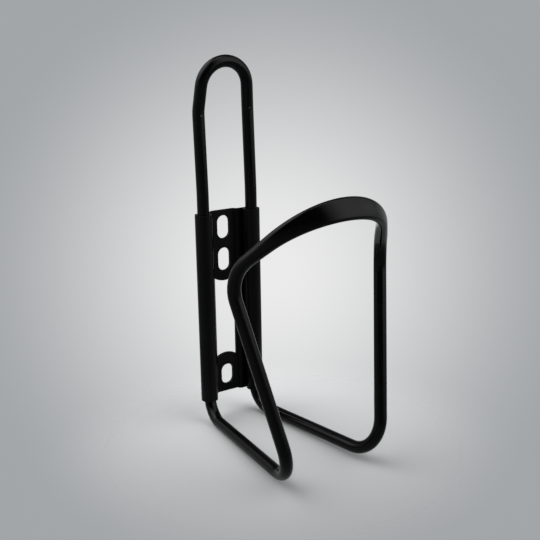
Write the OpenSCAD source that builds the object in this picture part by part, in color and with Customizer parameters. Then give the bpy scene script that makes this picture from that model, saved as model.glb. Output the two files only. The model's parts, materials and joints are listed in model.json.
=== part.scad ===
// Water bottle cage for a bicycle frame.
// Two bent aluminium rods are held in the rolled edges of one stamped mounting bracket.
// The origin is the centre of the bolt pattern, on the face that lies against the bicycle frame.
// +Y points to the bicycle frame, -Y to the bottle, +Z up. All lengths are in millimetres.

/* [Rod] */
// Diameter of the round rod
rod_d = 4.8; // [4:0.1:5.6]
// Distance between the axes of the two rear legs
leg_spacing = 22.2; // [20:0.2:26]
// Distance of the rear legs' axes from the mounting face
leg_standoff = 4.9; // [4.2:0.1:6]
// Height at which the rod ends meet inside the sleeves
joint_z = -6; // [-20:1:20]
// Gap between the rod ends inside a sleeve
joint_gap = 0.4; // [0.2:0.1:1.5]
// Chamfer on each rod end
end_chamfer = 0.5; // [0.2:0.1:1]

/* [Rear loop] */
// Length of upright leg between the bracket and the point where the legs start to lean back
lean_rise = 8.4; // [4:0.2:14]
// Height from that point up to the kink
lean_run = 31.8; // [24:0.2:40]
// Lean of the legs towards the bicycle frame, in degrees
leg_lean = 2.1; // [0.5:0.1:4]
// Forward lean of the loop above the kink, in degrees
loop_lean = 7.4; // [3:0.2:14]
// Inward lean of the two sides of the loop, in degrees
loop_taper = 5.3; // [3:0.1:9]
// Length of a straight side between the kink and the loop's round top
loop_straight = 9.5; // [5:0.1:20]
// Bend radius at the kink and where the legs start to lean
kink_r = 16; // [8:1:30]

/* [Basket] */
// Bend radius between rear leg and floor arm
floor_bend_r = 9.4; // [8.4:0.1:14]
// Length of the leg over which this bend starts inside the sleeve
bend_inside = 2.6; // [0.6:0.1:3.2]
// Distance between the two front corners
corner_spacing = 38.2; // [30:0.2:46]
// Distance of the front corners from the mounting face
corner_reach = 79.3; // [72:0.1:86]
// Rise of a floor arm from its rear vertex to the front corner
corner_rise = 2.5; // [-4:0.1:8]
// Bend radius of the front corners
corner_r = 12.5; // [8:0.1:16]
// Bend radius between riser and hoop
riser_bend_r = 13.6; // [6:0.1:18]

/* [Hoop] */
// Radius of the hoop's arc in its own plane, to the rod's axis
hoop_r = 27; // [25:0.2:31]
// Distance of the hoop's front from the mounting face, to the rod's axis
hoop_reach = 81.7; // [76:0.1:90]
// Height of the hoop's front
hoop_z = 52.4; // [46:0.1:60]
// Slope of the hoop's plane, rising to the front, in degrees
hoop_slope = 46; // [35:0.2:52]
// Half angle of the hoop's arc, in degrees
hoop_arc = 61.3; // [52:0.1:68]
// Length of the straight tail between the arc and the riser's vertex
hoop_tail = 19.2; // [14:0.1:24]
// Width of the rod where it is pressed flat
flat_w = 8; // [6:0.1:10]
// Length over which the round rod turns flat
flat_taper = 38; // [20:1:38]
// Lean of the flat face from upright at the front, in degrees
flat_lean = 19; // [0:0.2:45]

/* [Bracket] */
// Thickness of the bracket's sheet
sheet_t = 1; // [0.8:0.1:1.4]
// Distance from the upper slot's centre to the bracket's top edge
top_margin = 7.1; // [6:0.1:12]
// Distance from the lower slot's centre to the bracket's bottom edge
bottom_margin = 7.6; // [6:0.1:12]
// Width of the flat web between the steps that set it back from the sleeves
web_w = 8.4; // [7:0.1:9.6]
// Inside radius of the two bends in each step
web_bend_r = 1; // [0.4:0.1:1.6]
// How far the sheet is rolled round a rear leg, in degrees
roll_angle = 300; // [250:5:310]
// Clearance between a rod and its rolled sleeve
crimp_gap = 0.05; // [0.02:0.01:0.2]

/* [Bolt slots] */
// Distance between the upper and the lower slot, centre to centre
bolt_spacing = 64; // [60:0.5:70]
// Distance between the upper and the middle slot
middle_drop = 13.5; // [12:0.1:16]
// Width of a slot
slot_w = 5.5; // [5.2:0.1:6.2]
// Length of the upper and the middle slot
slot_len = 9.6; // [8:0.1:11]
// Length of the lower slot
lower_slot_len = 8.8; // [7:0.1:10]

/* [Window] */
// Width of the window in the web
window_w = 9.4; // [7:0.1:10]
// Distance from the middle slot's centre to the tip of the tab below it
upper_tab = 9.1; // [7:0.1:14]
// Distance from the lower slot's centre to the tip of the tab above it
lower_tab = 9.6; // [7:0.1:14]
// Depth of the round lobe on each tab
lobe_depth = 1.4; // [0.8:0.1:2]

/* [Hidden] */
$fn = 64;
paint = [0.05, 0.05, 0.052];
bracket_paint = [0.08, 0.08, 0.082];

// Number of sides of the rod's cross-section
ring_sides = 24;
// Angle between rings along a bend of the rod
bend_step = 8;
// Angle between points along a bend of the sheet
sheet_step = 6;

rod_r = rod_d / 2;
leg_x = leg_spacing / 2;
overshoot = 1;
chamfer_up = [0, 0, end_chamfer];

// Vector helpers
function unit(v) = v / norm(v);
function mirror_x(p) = [-p[0], p[1], p[2]];
function backwards(list) = [for (i = [len(list) - 1:-1:0]) list[i]];
function turned(v, axis, a) = v * cos(a) + cross(axis, v) * sin(a) + axis * (axis * v) * (1 - cos(a));
function turn_at(a, b, c) = acos(unit(b - a) * unit(c - b));
function tangent_len(a, b, c, r) = r * tan(turn_at(a, b, c) / 2);

// A station of a rod is its point, its direction, the direction of its wide side and its width.
function station(p, dir, wide, w) = [p, dir, wide, w];

// Thickness of a flat oval of width w that has the round rod's area
corner_share = 1 - PI / 4;
function pressed_t(w) = (w - sqrt(w * w - corner_share * PI * rod_d * rod_d)) / (2 * corner_share);

// Cross-section at a station: round, or pressed to a flat oval
function ring(s) =
  let(t = pressed_t(s[3]), straight_w = s[3] - t, wide = s[2], thin = cross(s[1], s[2]))
  [for (i = [0:ring_sides - 1])
    let(a = 360 * (i + 0.5) / ring_sides, end = cos(a) > 0 ? straight_w / 2 : -straight_w / 2)
    s[0] + wide * (end + t / 2 * cos(a)) + thin * (t / 2 * sin(a))];

// Ring of the chamfer at a rod's cut end, at point p
function cut_ring(p, s) = [for (q = ring(s)) p + (q - s[0]) * (1 - end_chamfer / rod_r)];

// Stations of a round rod along vertices p, with bends of radii r, from vertex i on
function bent(p, r, wide, i = 1) =
  i >= len(p) - 1 ? [] :
  let(
    axis = unit(cross(p[i] - p[i - 1], p[i + 1] - p[i])),
    turn = turn_at(p[i - 1], p[i], p[i + 1]),
    dir = unit(p[i] - p[i - 1]),
    start = p[i] - dir * tangent_len(p[i - 1], p[i], p[i + 1], r[i]),
    centre = start + cross(axis, dir) * r[i],
    steps = max(1, ceil(turn / bend_step))
  )
  concat(
    [for (k = [0:steps]) let(a = turn * k / steps)
      let(point = centre + turned(start - centre, axis, a))
      station(point, turned(dir, axis, a), turned(wide, axis, a), rod_d)],
    bent(p, r, turned(wide, axis, turn), i + 1)
  );

// Skin of triangles over a row of rings, closed at both ends
module skin(rings) {
  n = ring_sides;
  last = len(rings) - 1;
  sides = [for (i = [0:last - 1], j = [0:n - 1], half = [0, 1])
    let(a = i * n + j, b = i * n + (j + 1) % n)
    half == 0 ? [a, b + n, b] : [a, a + n, b + n]];
  caps = [for (j = [1:n - 2], end = [0, 1])
    end == 0 ? [0, j, j + 1] : [last * n, last * n + j + 1, last * n + j]];
  polyhedron(points = [for (r = rings, q = r) q], faces = concat(sides, caps));
}

// Slots and edges of the bracket
upper_slot_z = bolt_spacing / 2;
middle_slot_z = upper_slot_z - middle_drop;
lower_slot_z = -bolt_spacing / 2;
bracket_top = upper_slot_z + top_margin;
bracket_bottom = lower_slot_z - bottom_margin;

// Rear loop: vertices of the right side, from the joint in the sleeve up to where the sides would meet
loop_end = [leg_x, -leg_standoff, joint_z + joint_gap / 2];
lean_start = [leg_x, -leg_standoff, bracket_top + lean_rise];
kink = lean_start + [0, tan(leg_lean), 1] * lean_run;
apex_run = leg_x / tan(loop_taper);
apex = [0, kink[1] - apex_run * sin(loop_lean), kink[2] + apex_run * cos(loop_lean)];
loop_r = (leg_x - loop_straight * sin(loop_taper)) / cos(loop_taper);

// Basket: vertices of the right side, from the hoop's arc down to the joint in the sleeve
basket_end = [leg_x, -leg_standoff, joint_z - joint_gap / 2];
floor_arm = [corner_spacing / 2 - leg_x, leg_standoff - corner_reach, corner_rise];
floor_turn = acos(-unit(floor_arm)[2]);
floor_bend = [leg_x, -leg_standoff, bracket_bottom + bend_inside - floor_bend_r * tan(floor_turn / 2)];
front_corner = floor_bend + floor_arm;
riser_top = hoop_point(hoop_arc) + hoop_dir(hoop_arc) * hoop_tail;

// Hoop's axis: an arc in a plane that rises to the front
function hoop_point(a) = [
  hoop_r * sin(a),
  hoop_r * (1 - cos(a)) * cos(hoop_slope) - hoop_reach,
  hoop_z - hoop_r * (1 - cos(a)) * sin(hoop_slope)
];
function hoop_dir(a) = [cos(a), sin(a) * cos(hoop_slope), -sin(a) * sin(hoop_slope)];
hoop_normal = [0, sin(hoop_slope), cos(hoop_slope)];
function hoop_wide(dir) =
  hoop_normal * cos(hoop_slope - flat_lean) + cross(dir, hoop_normal) * sin(hoop_slope - flat_lean);

// Width of the hoop at the given length of rod past the riser's bend
function ease(k) = k * k * (3 - 2 * k);
function hoop_w(run) = rod_d + (flat_w - rod_d) * ease(min(1, run / flat_taper));

arc_rings = 22;
tail_rings = 5;
tail_len = hoop_tail - tangent_len(hoop_point(hoop_arc), riser_top, front_corner, riser_bend_r);
arc_stations = [for (i = [0:arc_rings])
  let(a = hoop_arc * i / arc_rings, dir = hoop_dir(a), left = hoop_r * (hoop_arc - a) * PI / 180)
  station(hoop_point(a), dir, hoop_wide(dir), hoop_w(tail_len + left))];
tail_dir = hoop_dir(hoop_arc);
tail_stations = [for (i = [1:tail_rings - 1]) let(run = tail_len * i / tail_rings)
  station(hoop_point(hoop_arc) + tail_dir * run, tail_dir, hoop_wide(tail_dir), hoop_w(tail_len - run))];

// Bracket's section, on the sheet's middle surface: flat web, step forward, roll round the rear leg
sheet_mid = sheet_t / 2;
web_x = web_w / 2;
sleeve_r = rod_r + crimp_gap;
roll_mid_r = sleeve_r + sheet_mid;
roll_centre = [leg_x, -leg_standoff];
bend_mid_r = web_bend_r + sheet_mid;
bend_centre = [web_x, -sheet_mid - bend_mid_r];
web_setback = leg_standoff - roll_mid_r - sheet_mid;
step_angle = acos(1 - web_setback / (2 * bend_mid_r));
step_centre = bend_centre + 2 * bend_mid_r * [sin(step_angle), cos(step_angle)];
bracket_h = bracket_top - bracket_bottom;

// Points on a circle about c, from angle a on by sweep
function arc(c, r, a, sweep) =
  let(steps = ceil(abs(sweep) / sheet_step))
  [for (i = [0:steps]) let(b = a + sweep * i / steps) c + r * [cos(b), sin(b)]];

// Face of the sheet on one side of its middle surface, from the web to the roll's free edge
function sheet_face(side) = concat(
  arc(bend_centre, bend_mid_r + side * sheet_mid, 90, -step_angle),
  arc(step_centre, bend_mid_r - side * sheet_mid, -90 - step_angle, step_angle),
  arc(roll_centre, roll_mid_r + side * sheet_mid, 90, -roll_angle)
);

// Web with a sleeve on each side, before the openings are cut
module formed_sheet() {
  right = concat(sheet_face(1), backwards(sheet_face(-1)));
  left = [for (p = backwards(right)) [-p[0], p[1]]];
  translate([0, 0, bracket_bottom]) linear_extrude(bracket_h) polygon(concat(right, left));
}

// Round hole through the web
module web_hole(z, r) {
  translate([0, overshoot, z]) rotate([90, 0, 0]) cylinder(h = sheet_t + 2 * overshoot, r = r);
}

// Opening through the web from height low to height high
module web_cut(w, low, high) {
  translate([-w / 2, -sheet_t - overshoot, low]) cube([w, sheet_t + 2 * overshoot, high - low]);
}

// Upright slot, centred at height z
module slot(z, length) {
  run = (length - slot_w) / 2;
  web_hole(z - run, slot_w / 2);
  web_hole(z + run, slot_w / 2);
  web_cut(slot_w, z - run, z + run);
}

// Window between the lobed ends of the upper and the lower tab
module window() {
  high = middle_slot_z - upper_tab;
  low = lower_slot_z + lower_tab;
  lobe_r = (window_w * window_w / 4 + lobe_depth * lobe_depth) / (2 * lobe_depth);
  difference() {
    web_cut(window_w, low - lobe_depth, high + lobe_depth);
    web_hole(high + lobe_r, lobe_r);
    web_hole(low - lobe_r, lobe_r);
  }
}

// Flared lower mouth of a sleeve, which clears the start of the rod's bend
module sleeve_mouth(x) {
  inner_bend_r = floor_bend_r - rod_r;
  slope = (inner_bend_r - sqrt(inner_bend_r * inner_bend_r - bend_inside * bend_inside)) / bend_inside;
  height = bend_inside + 2 * overshoot;
  wide_r = sleeve_r + slope * (bend_inside + overshoot);
  translate([x, -leg_standoff, bracket_bottom - overshoot])
    cylinder(h = height, r1 = wide_r, r2 = wide_r - slope * height);
}

module mounting_bracket() {
  color(bracket_paint) difference() {
    formed_sheet();
    slot(upper_slot_z, slot_len);
    slot(middle_slot_z, slot_len);
    slot(lower_slot_z, lower_slot_len);
    window();
    sleeve_mouth(leg_x);
    sleeve_mouth(-leg_x);
  }
}

module rear_loop_rod() {
  right = [loop_end, lean_start, kink];
  left = [for (p = backwards(right)) mirror_x(p)];
  radii = [0, kink_r, kink_r, loop_r, kink_r, kink_r, 0];
  first = station(loop_end + chamfer_up, [0, 0, 1], [1, 0, 0], rod_d);
  bends = bent(concat(right, [apex], left), radii, first[2]);
  last = station(mirror_x(first[0]), [0, 0, -1], bends[len(bends) - 1][2], rod_d);
  body = [for (s = concat([first], bends, [last])) ring(s)];
  color(paint) skin(concat([cut_ring(loop_end, first)], body, [cut_ring(mirror_x(loop_end), last)]));
}

module bottle_basket_rod() {
  vertices = [hoop_point(hoop_arc), riser_top, front_corner, floor_bend, basket_end];
  radii = [0, riser_bend_r, corner_r, floor_bend_r, 0];
  bends = bent(vertices, radii, hoop_wide(tail_dir));
  last = station(basket_end - chamfer_up, [0, 0, 1], bends[len(bends) - 1][2], rod_d);
  right = concat(
    [for (s = concat(arc_stations, tail_stations, bends, [last])) ring(s)],
    [cut_ring(basket_end, last)]
  );
  left = [for (i = [len(right) - 1:-1:1]) [for (q = right[i]) mirror_x(q)]];
  color(paint) skin(concat(left, right));
}

mounting_bracket();
rear_loop_rod();
bottle_basket_rod();
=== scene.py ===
import json
import math

import bpy
from mathutils import Matrix, Vector


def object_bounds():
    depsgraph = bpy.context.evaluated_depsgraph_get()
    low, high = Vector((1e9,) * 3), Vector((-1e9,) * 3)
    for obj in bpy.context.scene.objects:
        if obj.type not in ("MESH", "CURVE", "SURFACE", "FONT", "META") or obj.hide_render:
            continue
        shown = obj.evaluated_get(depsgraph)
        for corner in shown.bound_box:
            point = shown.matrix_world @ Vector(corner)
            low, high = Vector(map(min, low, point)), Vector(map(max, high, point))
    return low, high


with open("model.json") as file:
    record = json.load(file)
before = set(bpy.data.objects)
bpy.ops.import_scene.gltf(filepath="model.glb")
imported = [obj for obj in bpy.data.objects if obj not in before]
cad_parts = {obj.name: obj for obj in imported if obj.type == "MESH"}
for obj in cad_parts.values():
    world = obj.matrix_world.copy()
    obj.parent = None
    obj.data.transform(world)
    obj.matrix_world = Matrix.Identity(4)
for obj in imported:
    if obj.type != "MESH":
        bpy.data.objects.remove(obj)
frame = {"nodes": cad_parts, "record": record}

cad_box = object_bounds()
scene = bpy.context.scene
nodes = frame["nodes"]

MM = 0.001

# Camera, at the photograph's viewing angle
AZIMUTH = math.radians(-33.0)
ELEVATION = math.radians(15.41)
ROLL = math.radians(-0.87)
DISTANCE = 332.82 * MM
TARGET = Vector((0.34, -35.0, 21.26)) * MM
FOCAL_PX = 877.26
IMAGE_PX = 540
SENSOR_MM = 36.0
CLIP_START = 10 * MM

# Faces of a CAD node that meet at a larger angle keep a sharp edge
EDGE_ANGLE = math.radians(34)
MERGE_DISTANCE = 0.001 * MM

# Paint: colours, the ranges of noise for clouds and specks, the relief, and the lighter cut edges, partly
# chipped paint and partly a painted highlight
ROD_COLOURS = ((0.0006, 0.0006, 0.0007, 1), (0.0014, 0.0014, 0.0015, 1))
SHEET_COLOURS = ((0.0011, 0.0011, 0.0012, 1), (0.0022, 0.0022, 0.0023, 1))
WORN_COLOUR = (0.005, 0.005, 0.0051, 1)
# Partly chipped paint, partly a painted highlight along the cut edges of the sheet
EDGE_CHIP_AND_HIGHLIGHT_COLOUR = (0.045, 0.045, 0.046, 1)
SPECK_COLOUR = (0.05, 0.05, 0.05, 1)
# Colour of the painted glints at the kinks
KINK_GLINT_COLOUR = (0.06, 0.06, 0.06, 1)
CLOUDS = (0.3, 0.7)
SPECKS = (0.735, 0.78)
BUMP_DISTANCE = 0.04 * MM
EDGE_CHIP_AND_HIGHLIGHT_WIDTH = 0.25 * MM
EDGE_CHIP_AND_HIGHLIGHT_TURN = (0.97, 0.80)
BEVEL_SAMPLES = 4

# Painted glints: small light spots in the paint at the two kinks of the rear loop, where the bends catch
# the light, at full strength in their core
KINK_GLINTS = (Vector((10.6, -6.1, 79.6)) * MM, Vector((-11.2, -6.15, 77.8)) * MM)
KINK_GLINT_R = 0.45 * MM
KINK_GLINT_CORE = 0.3

# Floor, with a painted pool of light behind the object, fading out with the distance from its middle
FLOOR_GAP = 0.1 * MM
FLOOR_HALF = 4.0
FLOOR_COLOUR = (0.285, 0.291, 0.295, 1)
FLOOR_PAINTED_LIGHT_COLOUR = (0.66, 0.668, 0.673, 1)
FLOOR_PAINTED_LIGHT_R = 0.17
FLOOR_PAINTED_LIGHT_BEHIND = 0.10
FLOOR_FADE = (0.03, 0.105)
FLOOR_ROUGHNESS = 0.9
FLOOR_SPECULAR = 0.1

# Surroundings. Each fade is a range of the direction's share along an axis.
BACKDROP_COLOUR = (0.365, 0.381, 0.395, 1)
GLOW_COLOUR = (0.83, 0.83, 0.83, 1)
GLOW_ANGLE = math.radians(20.6)
SIDE_COLOUR = (0.62, 0.628, 0.635, 1)
SIDE_FADE = (0.35, 0.85)
FRONT_COLOUR = (0.20, 0.206, 0.21, 1)
FRONT_AZIMUTH = math.radians(-15)
FRONT_FADE = (0.5, 0.85)
LOW_COLOUR = (0.34, 0.347, 0.352, 1)
LOW_LEFT_COLOUR = (0.5, 0.506, 0.51, 1)
LOW_LEFT_FADE = (-0.7, -1.15)
LOW_FADE = (-0.02, -0.27)
LOW_OUTSIDE = (0.9, 0.65)
CEILING_COLOUR = (0.01, 0.0103, 0.0106, 1)
CEILING_FADE = (0.05, 0.25)
FAR_CEILING_COLOUR = (0.14, 0.144, 0.148, 1)
FAR_CEILING_FADE = (-0.1, 0.5)
FILL_STRENGTH = 0.8

# Lamps: name, azimuth and elevation in degrees, size, brightness of the surface, and the shares of
# the size over which it fades out from the left, right, lower and upper edge
LAMPS = (
    ("right_softbox", 48, 29.5, (1.593, 1.332), 3.7, (0.36, 0.72, 0.3, 0.15)),
    ("left_softbox", -124, 42, (1.65, 1.4), 4.0, (0.3, 0.3, 0.5, 0.2)),
    ("top_softbox", 40, 80, (0.7, 0.7), 3.0, (0.3, 0.3, 0.3, 0.3)),
)
LAMP_DISTANCE = 0.9
LAMP_TARGET = Vector((0, -0.04, 0.02))


def toward(azimuth, elevation):
    """Unit vector at that bearing; azimuth 0 is the front of the object and 90 degrees its right."""
    level = math.cos(elevation)
    return Vector((math.sin(azimuth) * level, -math.cos(azimuth) * level, math.sin(elevation)))


# Direction from the object to the camera, and the level direction to the right of the picture
back = toward(AZIMUTH, ELEVATION)
sideways = Vector((math.cos(AZIMUTH), math.sin(AZIMUTH), 0))


# Node helpers

def add(tree, kind, links=None, **values):
    """A node of that kind; a value that names an input is set there, and any other on the node."""
    node = tree.nodes.new(kind)
    for name, value in values.items():
        if name in node.inputs:
            node.inputs[name].default_value = value
        else:
            setattr(node, name, value)
    for name, source in (links or {}).items():
        tree.links.new(source, node.inputs[name])
    return node


def feed(tree, socket, value):
    """Links the socket to another socket, or sets a plain value on it."""
    if isinstance(value, bpy.types.NodeSocket):
        tree.links.new(value, socket)
    else:
        socket.default_value = value


def maths(tree, operation, *values):
    node = add(tree, "ShaderNodeMath", operation=operation)
    for socket, value in zip(node.inputs, values):
        feed(tree, socket, value)
    return node.outputs[0]


def measure(tree, operation, *vectors):
    """The number that a vector operation gives, such as a dot product or a distance."""
    node = add(tree, "ShaderNodeVectorMath", operation=operation)
    for socket, vector in zip(node.inputs, vectors):
        feed(tree, socket, vector)
    return node.outputs["Value"]


def remap(tree, value, low, high, to_low=0.0, to_high=1.0, curve="LINEAR"):
    """The value with low to high taken to to_low to to_high, and held there beyond."""
    limits = {"From Min": low, "From Max": high, "To Min": to_low, "To Max": to_high}
    node = add(tree, "ShaderNodeMapRange", {"Value": value}, interpolation_type=curve, clamp=True, **limits)
    return node.outputs["Result"]


def noise(tree, coords, scale, detail, rough):
    node = add(tree, "ShaderNodeTexNoise", {"Vector": coords}, Scale=scale, Detail=detail, Roughness=rough)
    return node.outputs["Fac"]


def stretched(tree, coords, scale):
    return add(tree, "ShaderNodeMapping", {"Vector": coords}, Scale=scale).outputs[0]


def mixed(tree, factor, a, b):
    """Colour a where the factor is 0 and b where it is 1."""
    node = add(tree, "ShaderNodeMix", {"Factor": factor}, data_type="RGBA")
    feed(tree, node.inputs[6], a)
    feed(tree, node.inputs[7], b)
    return node.outputs[2]


def tinted(tree, body, mask, share, colour):
    """The body colour with that share of another one where the mask is 1."""
    return mixed(tree, maths(tree, "MULTIPLY", mask, share), body, colour)


def raised(tree, base, *parts):
    """The base plus each part times its weight."""
    for part, weight in parts:
        base = maths(tree, "ADD", base, maths(tree, "MULTIPLY", part, weight))
    return base


def new_material(name):
    """A material, its tree, its shader and the object's coordinates in metres."""
    material = bpy.data.materials.new(name)
    material.use_nodes = True
    tree = material.node_tree
    tree.nodes.clear()
    out = tree.nodes.new("ShaderNodeOutputMaterial")
    shader = tree.nodes.new("ShaderNodeBsdfPrincipled")
    tree.links.new(shader.outputs[0], out.inputs[0])
    return material, tree, shader, tree.nodes.new("ShaderNodeTexCoord").outputs["Object"]


# Paints

def coat(tree, shader, body, gloss, specular, height, bump):
    tree.links.new(body, shader.inputs["Base Color"])
    tree.links.new(gloss, shader.inputs["Roughness"])
    shader.inputs["Specular IOR Level"].default_value = specular
    relief = add(tree, "ShaderNodeBump", {"Height": height}, Strength=bump, Distance=BUMP_DISTANCE)
    tree.links.new(relief.outputs[0], shader.inputs["Normal"])


def cut_edges(tree):
    """1 along the edges of the sheet, where the rounded normal turns away from the face."""
    rounded = add(tree, "ShaderNodeBevel", Radius=EDGE_CHIP_AND_HIGHLIGHT_WIDTH, samples=BEVEL_SAMPLES).outputs[0]
    flat = tree.nodes.new("ShaderNodeNewGeometry").outputs["Normal"]
    return remap(tree, measure(tree, "DOT_PRODUCT", rounded, flat), *EDGE_CHIP_AND_HIGHLIGHT_TURN)


def rod_paint():
    """Semi-gloss black paint: slight orange peel, uneven gloss, dust specks and rubbed spots."""
    material, tree, shader, coords = new_material("black_semi_gloss_paint")
    cloud = noise(tree, coords, scale=70.0, detail=4.0, rough=0.55)
    peel = noise(tree, coords, scale=1100.0, detail=2.0, rough=0.5)
    grain = noise(tree, coords, scale=5200.0, detail=2.0, rough=0.6)
    specks = remap(tree, noise(tree, coords, scale=2600.0, detail=1.0, rough=0.4), *SPECKS)
    patches = noise(tree, stretched(tree, coords, (420, 420, 60)), scale=1.0, detail=4.0, rough=0.6)
    rubbed = remap(tree, patches, low=0.60, high=0.74)
    body = mixed(tree, remap(tree, cloud, *CLOUDS), *ROD_COLOURS)
    body = tinted(tree, body, rubbed, share=0.35, colour=WORN_COLOUR)
    body = tinted(tree, body, specks, share=0.5, colour=SPECK_COLOUR)
    # Painted glints: light spots at the two kinks of the rear loop, standing in for the light that the
    # bends catch
    for glint in KINK_GLINTS:
        far = measure(tree, "DISTANCE", coords, glint)
        near = remap(tree, far, KINK_GLINT_CORE * KINK_GLINT_R, KINK_GLINT_R, to_low=1.0, to_high=0.0)
        body = mixed(tree, near, body, KINK_GLINT_COLOUR)
    gloss = remap(tree, cloud, *CLOUDS, to_low=0.13, to_high=0.19)
    gloss = raised(tree, gloss, (rubbed, 0.07), (specks, 0.2))
    height = raised(tree, peel, (grain, 0.25), (specks, 0.5))
    coat(tree, shader, body, gloss, specular=0.09, height=height, bump=0.16)
    return material


def bracket_paint():
    """Satin black paint on rolled sheet: upright forming streaks, and lighter cut edges that are partly
    chipped paint and partly a painted highlight.
    """
    material, tree, shader, coords = new_material("black_satin_sheet_paint")
    cloud = noise(tree, coords, scale=90.0, detail=4.0, rough=0.55)
    streaks = noise(tree, stretched(tree, coords, (900, 900, 24)), scale=1.0, detail=4.0, rough=0.6)
    peel = noise(tree, coords, scale=1500.0, detail=2.0, rough=0.5)
    specks = remap(tree, noise(tree, coords, scale=2400.0, detail=1.0, rough=0.4), *SPECKS)
    # Lighter cut edges: partly chipped paint, partly a painted highlight where the edges catch the light
    edge_breakup = remap(tree, noise(tree, coords, scale=1300.0, detail=3.0, rough=0.6), low=0.42, high=0.62)
    chips_and_edge_highlight = maths(tree, "MULTIPLY", cut_edges(tree), edge_breakup)
    body = mixed(tree, remap(tree, cloud, *CLOUDS), *SHEET_COLOURS)
    worn = remap(tree, streaks, low=0.5, high=0.75)
    body = tinted(tree, body, worn, share=0.5, colour=WORN_COLOUR)
    body = tinted(tree, body, chips_and_edge_highlight, share=0.55, colour=EDGE_CHIP_AND_HIGHLIGHT_COLOUR)
    body = tinted(tree, body, specks, share=0.4, colour=SPECK_COLOUR)
    gloss = remap(tree, cloud, *CLOUDS, to_low=0.26, to_high=0.33)
    gloss = maths(tree, "ADD", gloss, remap(tree, streaks, low=0.3, high=0.7, to_high=0.08))
    height = raised(tree, peel, (streaks, 0.8), (specks, 0.5))
    coat(tree, shader, body, gloss, specular=0.075, height=height, bump=0.2)
    return material


# Smooth faces on the CAD nodes

def smooth_group():
    """Joins the faces of a CAD mesh along their edges and shades them smooth up to EDGE_ANGLE."""
    tree = bpy.data.node_groups.new("smooth_faces", "GeometryNodeTree")
    for way in ("INPUT", "OUTPUT"):
        tree.interface.new_socket("Geometry", in_out=way, socket_type="NodeSocketGeometry")
    start = add(tree, "NodeGroupInput").outputs[0]
    angle = add(tree, "GeometryNodeInputMeshEdgeAngle").outputs["Unsigned Angle"]
    sharp = add(tree, "FunctionNodeCompare", data_type="FLOAT", operation="GREATER_THAN")
    feed(tree, sharp.inputs[0], angle)
    feed(tree, sharp.inputs[1], EDGE_ANGLE)
    merge = add(tree, "GeometryNodeMergeByDistance", {"Geometry": start}, Distance=MERGE_DISTANCE)
    normal = add(tree, "GeometryNodeSetMeshNormal", mode="SHARPNESS")
    feed(tree, normal.inputs["Mesh"], merge.outputs[0])
    feed(tree, normal.inputs["Remove Custom"], True)
    feed(tree, normal.inputs["Edge Sharpness"], sharp.outputs[0])
    feed(tree, normal.inputs["Face Sharpness"], False)
    add(tree, "NodeGroupOutput", {"Geometry": normal.outputs[0]})
    return tree


smooth = smooth_group()
for node in nodes.values():
    node.modifiers.new("smooth_faces", "NODES").node_group = smooth

paints = {"rod_paint": rod_paint(), "bracket_paint": bracket_paint()}
for part in frame["record"]["subparts"]:
    slots = nodes[part["node"]].data.materials
    for i in range(len(slots)):
        slots[i] = paints[part["material_slot"]]


# Stage

def floor_material():
    """Pale floor with a painted pool of light behind the object, which takes the shadow near the object and
    fades into the backdrop.
    """
    material, tree, shader, coords = new_material("pale_floor")
    shader.inputs["Roughness"].default_value = FLOOR_ROUGHNESS
    shader.inputs["Specular IOR Level"].default_value = FLOOR_SPECULAR
    # Painted pool of light: a paler floor colour around a point behind the object
    painted_light_centre = Vector((-back.x, -back.y, 0)).normalized() * FLOOR_PAINTED_LIGHT_BEHIND
    share = remap(tree, measure(tree, "DISTANCE", coords, painted_light_centre), 0.0, FLOOR_PAINTED_LIGHT_R)
    tree.links.new(mixed(tree, share, FLOOR_PAINTED_LIGHT_COLOUR, FLOOR_COLOUR), shader.inputs["Base Color"])
    fade = remap(tree, measure(tree, "LENGTH", coords), *FLOOR_FADE, curve="SMOOTHERSTEP")
    blend = add(tree, "ShaderNodeMixShader", {"Fac": fade})
    tree.links.new(shader.outputs[0], blend.inputs[1])
    tree.links.new(tree.nodes.new("ShaderNodeBsdfTransparent").outputs[0], blend.inputs[2])
    tree.links.new(blend.outputs[0], tree.nodes["Material Output"].inputs[0])
    return material


low, high = cad_box
mesh = bpy.data.meshes.new("floor")
corners = [(-1, -1), (1, -1), (1, 1), (-1, 1)]
mesh.from_pydata([(x * FLOOR_HALF, y * FLOOR_HALF, 0) for x, y in corners], [], [(0, 1, 2, 3)])
floor = bpy.data.objects.new("floor", mesh)
floor.location = (0, (low.y + high.y) / 2, low.z - FLOOR_GAP)
floor.data.materials.append(floor_material())
scene.collection.objects.link(floor)


def fill_or_shown(tree):
    """1 for rays that show the surroundings, directly or mirrored, and FILL_STRENGTH for their light."""
    ray = tree.nodes.new("ShaderNodeLightPath").outputs
    shown = maths(tree, "MAXIMUM", ray["Is Camera Ray"], ray["Is Glossy Ray"])
    shown = maths(tree, "MAXIMUM", shown, ray["Is Transmission Ray"])
    return remap(tree, shown, 0.0, 1.0, to_low=FILL_STRENGTH)


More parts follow.
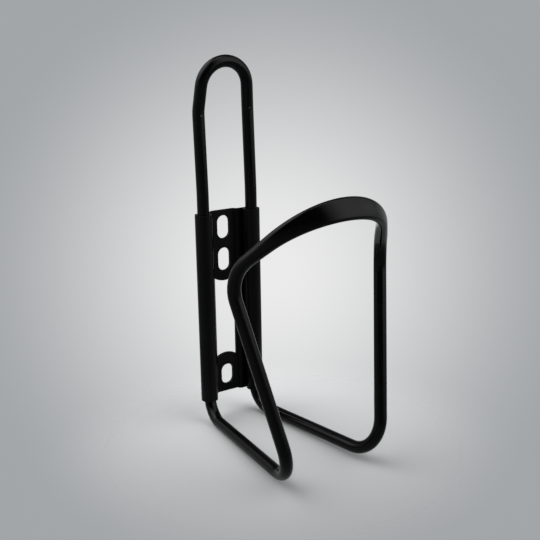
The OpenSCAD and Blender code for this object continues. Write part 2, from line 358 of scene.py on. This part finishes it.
def surroundings(tree):
    """Grey studio: walls, a darker front, the floor far away, a dark ceiling, a glow behind the object."""
    bearing = tree.nodes.new("ShaderNodeTexCoord").outputs["Generated"]
    rise = add(tree, "ShaderNodeSeparateXYZ", {"Vector": bearing}).outputs["Z"]
    along = measure(tree, "DOT_PRODUCT", bearing, -back)
    across = measure(tree, "DOT_PRODUCT", bearing, sideways)
    ahead = measure(tree, "DOT_PRODUCT", bearing, toward(FRONT_AZIMUTH, 0))

    side = remap(tree, maths(tree, "ABSOLUTE", across), *SIDE_FADE)
    walls = mixed(tree, side, BACKDROP_COLOUR, SIDE_COLOUR)
    walls = mixed(tree, remap(tree, ahead, *FRONT_FADE), walls, FRONT_COLOUR)

    # The floor far away, outside the part of the backdrop that the picture shows
    left = remap(tree, maths(tree, "ADD", along, across), *LOW_LEFT_FADE)
    below = remap(tree, rise, *LOW_FADE)
    below = maths(tree, "MULTIPLY", below, remap(tree, along, *LOW_OUTSIDE))
    walls = mixed(tree, below, walls, mixed(tree, left, LOW_COLOUR, LOW_LEFT_COLOUR))

    far = remap(tree, along, *FAR_CEILING_FADE)
    ceiling = mixed(tree, far, CEILING_COLOUR, FAR_CEILING_COLOUR)
    backdrop = mixed(tree, remap(tree, rise, *CEILING_FADE), walls, ceiling)

    off_axis = maths(tree, "ARCCOSINE", along)
    glow = remap(tree, off_axis, 0.0, GLOW_ANGLE, to_low=1.0, to_high=0.0, curve="SMOOTHSTEP")
    return mixed(tree, glow, backdrop, GLOW_COLOUR)


world = bpy.data.worlds.new("studio")
scene.world = world
world.use_nodes = True
sky = world.node_tree
background = sky.nodes["Background"]
sky.links.new(surroundings(sky), background.inputs["Color"])
sky.links.new(fill_or_shown(sky), background.inputs["Strength"])


def softbox(name, azimuth, elevation, size, radiance, fades):
    """A rectangular lamp at that bearing, which shines at LAMP_TARGET and fades out at its edges."""
    data = bpy.data.lights.new(name, "AREA")
    data.shape = "RECTANGLE"
    data.size, data.size_y = size
    data.energy = radiance * math.pi * size[0] * size[1]
    data.use_nodes = True
    tree = data.node_tree
    surface = tree.nodes.new("ShaderNodeNewGeometry").outputs["Parametric"]
    across = add(tree, "ShaderNodeSeparateXYZ", {"Vector": surface}).outputs
    level = 1.0
    for axis, (low_fade, high_fade) in zip("XY", (fades[:2], fades[2:])):
        level = maths(tree, "MULTIPLY", remap(tree, across[axis], 0.0, low_fade), level)
        level = maths(tree, "MULTIPLY", remap(tree, across[axis], 1.0, 1.0 - high_fade), level)
    tree.links.new(level, tree.nodes["Emission"].inputs["Strength"])
    lamp = bpy.data.objects.new(name, data)
    ray = toward(math.radians(azimuth), math.radians(elevation)) * LAMP_DISTANCE
    lamp.location = ray + LAMP_TARGET
    lamp.rotation_mode = "QUATERNION"
    lamp.rotation_quaternion = (-ray).to_track_quat("-Z", "Y")
    lamp.visible_camera = False
    scene.collection.objects.link(lamp)


for lamp_values in LAMPS:
    softbox(*lamp_values)

# Camera
camera_data = bpy.data.cameras.new("camera")
camera_data.sensor_fit = "HORIZONTAL"
camera_data.sensor_width = SENSOR_MM
camera_data.lens = FOCAL_PX / IMAGE_PX * SENSOR_MM
camera_data.clip_start = CLIP_START
upright = back.cross(sideways)
right = sideways * math.cos(ROLL) + upright * math.sin(ROLL)
up = upright * math.cos(ROLL) - sideways * math.sin(ROLL)
turn = Matrix((right, up, back)).transposed().to_4x4()
camera = bpy.data.objects.new("camera", camera_data)
camera.matrix_world = Matrix.Translation(TARGET + back * DISTANCE) @ turn
scene.collection.objects.link(camera)
scene.camera = camera

scene.view_settings.view_transform = "Standard"
